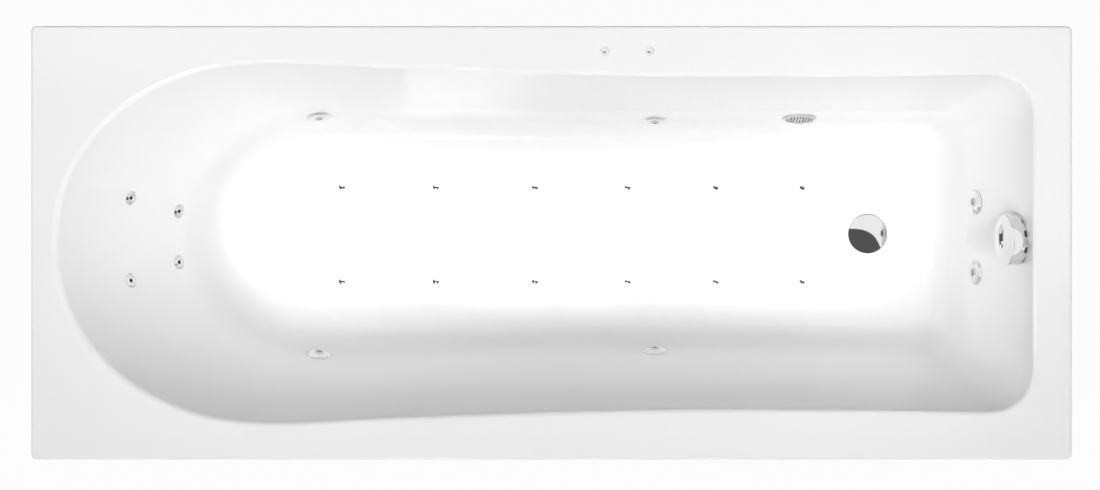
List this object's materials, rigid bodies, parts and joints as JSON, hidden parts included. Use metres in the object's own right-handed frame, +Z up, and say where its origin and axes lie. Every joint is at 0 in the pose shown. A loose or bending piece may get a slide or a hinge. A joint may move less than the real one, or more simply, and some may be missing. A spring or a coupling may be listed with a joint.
{
  "type": "bathtub",
  "caption": "Drop-in acrylic jetted bath with rounded head end, water and air jets, pump, blower, air buttons, rotary waste control and levelling frame.",
  "frame": {"origin": "on the floor under the middle of the rim", "axes": "+X along the bath from the sloping head end to the foot end with the waste, +Y across it to the side with the air buttons, +Z up"},
  "size_m": [1.8, 0.75, 0.605],
  "materials": {
    "acrylic": "white sanitary acrylic on glass fibre, polished",
    "timber": "raw chipboard and pine",
    "frame_paint": "grey powder coat",
    "zinc_steel": "zinc plated",
    "black_rubber": "matt black rubber",
    "chrome": "polished chrome",
    "grey_grille": "satin grey chromed plastic",
    "nozzle_grey": "light grey and chromed plastic",
    "white_pvc": "white pressure pipe",
    "grey_pvc": "grey moulded plastic",
    "clear_hose": "milky flexible hose",
    "black_plastic": "black moulded plastic",
    "cast_aluminium": "cast, unpainted",
    "box_plastic": "light grey moulded case",
    "spring_steel": "spring wire",
    "brass": "turned brass"
  },
  "bodies": {
    "bath": {"air_blower": "black_plastic", "air_jet_bodies": "grey_pvc", "air_jet_caps": "chrome", "air_manifold": "grey_pvc", "back_jet_faces": "chrome", "back_jet_hoses": "clear_hose", "backing_nuts": "grey_pvc", "base_board": "timber", "bath_shell": "acrylic", "blower_button_spring": "spring_steel", "blower_hose": "grey_pvc", "button_air_lines": "clear_hose", "button_bodies": "chrome", "cable_glands": "black_plastic", "control_box": "box_plastic", "control_box_lid": "box_plastic", "equipment_shelf": "frame_paint", "fan_cover": "black_plastic", "foot_pads": "black_rubber", "frame_hoops": "frame_paint", "frame_long_rails": "frame_paint", "jet_bodies": "white_pvc", "jet_gaskets": "black_rubber", "jet_rings": "chrome", "levelling_studs": "zinc_steel", "motor_terminal_box": "black_plastic", "overflow_body": "white_pvc", "overflow_hose": "grey_pvc", "overflow_rose": "chrome", "pump_back_plate": "cast_aluminium", "pump_base": "frame_paint", "pump_button_spring": "spring_steel", "pump_motor": "cast_aluminium", "pump_volute": "black_plastic", "rim_battens": "timber", "suction_body": "white_pvc", "suction_cover": "grey_grille", "suction_pipe": "white_pvc", "trap": "white_pvc", "trap_cap": "white_pvc", "union_nuts": "grey_pvc", "waste_body": "white_pvc", "waste_cable": "black_plastic", "waste_flange": "chrome", "water_main": "white_pvc"},
    "head_side_jet_left": {"head_side_jet_left_nozzle": "nozzle_grey"},
    "head_side_jet_right": {"head_side_jet_right_nozzle": "nozzle_grey"},
    "foot_side_jet_left": {"foot_side_jet_left_nozzle": "nozzle_grey"},
    "foot_side_jet_right": {"foot_side_jet_right_nozzle": "nozzle_grey"},
    "end_jet_left": {"end_jet_left_nozzle": "nozzle_grey"},
    "end_jet_right": {"end_jet_right_nozzle": "nozzle_grey"},
    "overflow_control": {"overflow_knob": "chrome"},
    "waste_plug": {"waste_cap": "chrome", "waste_seal": "black_rubber", "waste_stem": "brass"},
    "pump_button": {"pump_button_cap": "chrome"},
    "blower_button": {"blower_button_cap": "chrome"},
    "pump_rotor": {"pump_shaft": "zinc_steel", "pump_impeller": "black_plastic", "cooling_fan": "black_plastic"}
  },
  "joints": [
    {"name": "head_side_jet_left_tilt", "type": "hinge", "parent": "bath", "child": "head_side_jet_left", "pos_m": [-0.4363, 0.22646, 0.24436], "axis": [0.9916, 0.1295, 0], "range_deg": [-12, 12]},
    {"name": "head_side_jet_right_tilt", "type": "hinge", "parent": "bath", "child": "head_side_jet_right", "pos_m": [-0.4363, -0.22646, 0.24436], "axis": [-0.9916, 0.1295, 0], "range_deg": [-12, 12]},
    {"name": "foot_side_jet_left_tilt", "type": "hinge", "parent": "bath", "child": "foot_side_jet_left", "pos_m": [0.19402, 0.21941, 0.24444], "axis": [1, -0.0072, 0], "range_deg": [-12, 12]},
    {"name": "foot_side_jet_right_tilt", "type": "hinge", "parent": "bath", "child": "foot_side_jet_right", "pos_m": [0.19402, -0.21941, 0.24444], "axis": [-1, -0.0072, 0], "range_deg": [-12, 12]},
    {"name": "end_jet_left_tilt", "type": "hinge", "parent": "bath", "child": "end_jet_left", "pos_m": [0.78234, 0.065, 0.3373], "axis": [0, -1, 0], "range_deg": [-12, 12]},
    {"name": "end_jet_right_tilt", "type": "hinge", "parent": "bath", "child": "end_jet_right", "pos_m": [0.78234, -0.065, 0.3373], "axis": [0, -1, 0], "range_deg": [-12, 12]},
    {"name": "overflow_turn", "type": "hinge", "parent": "bath", "child": "overflow_control", "pos_m": [0.82571, 0, 0.52494], "axis": [-0.9869, 0, 0.1616], "range_deg": [0, 90]},
    {"name": "waste_lift", "type": "slide", "parent": "bath", "child": "waste_plug", "axis": [0, 0, 1], "range_m": [0, 0.01]},
    {"name": "pump_button_press", "type": "slide", "parent": "bath", "child": "pump_button", "axis": [0, 0, -1], "range_m": [0, 0.003], "stiffness_N_per_m": 400, "springref_m": -0.003, "deforming": ["pump_button_spring"]},
    {"name": "blower_button_press", "type": "slide", "parent": "bath", "child": "blower_button", "axis": [0, 0, -1], "range_m": [0, 0.003], "stiffness_N_per_m": 400, "springref_m": -0.003, "deforming": ["blower_button_spring"]},
    {"name": "pump_rotor_spin", "type": "hinge", "parent": "bath", "child": "pump_rotor", "pos_m": [-0.795, 0, 0.205], "axis": [0, 1, 0], "continuous": true}
  ],
  "couplings": [
    {"joint": "waste_lift", "follows": "overflow_turn", "m_per_rad": 0.006366}
  ]
}
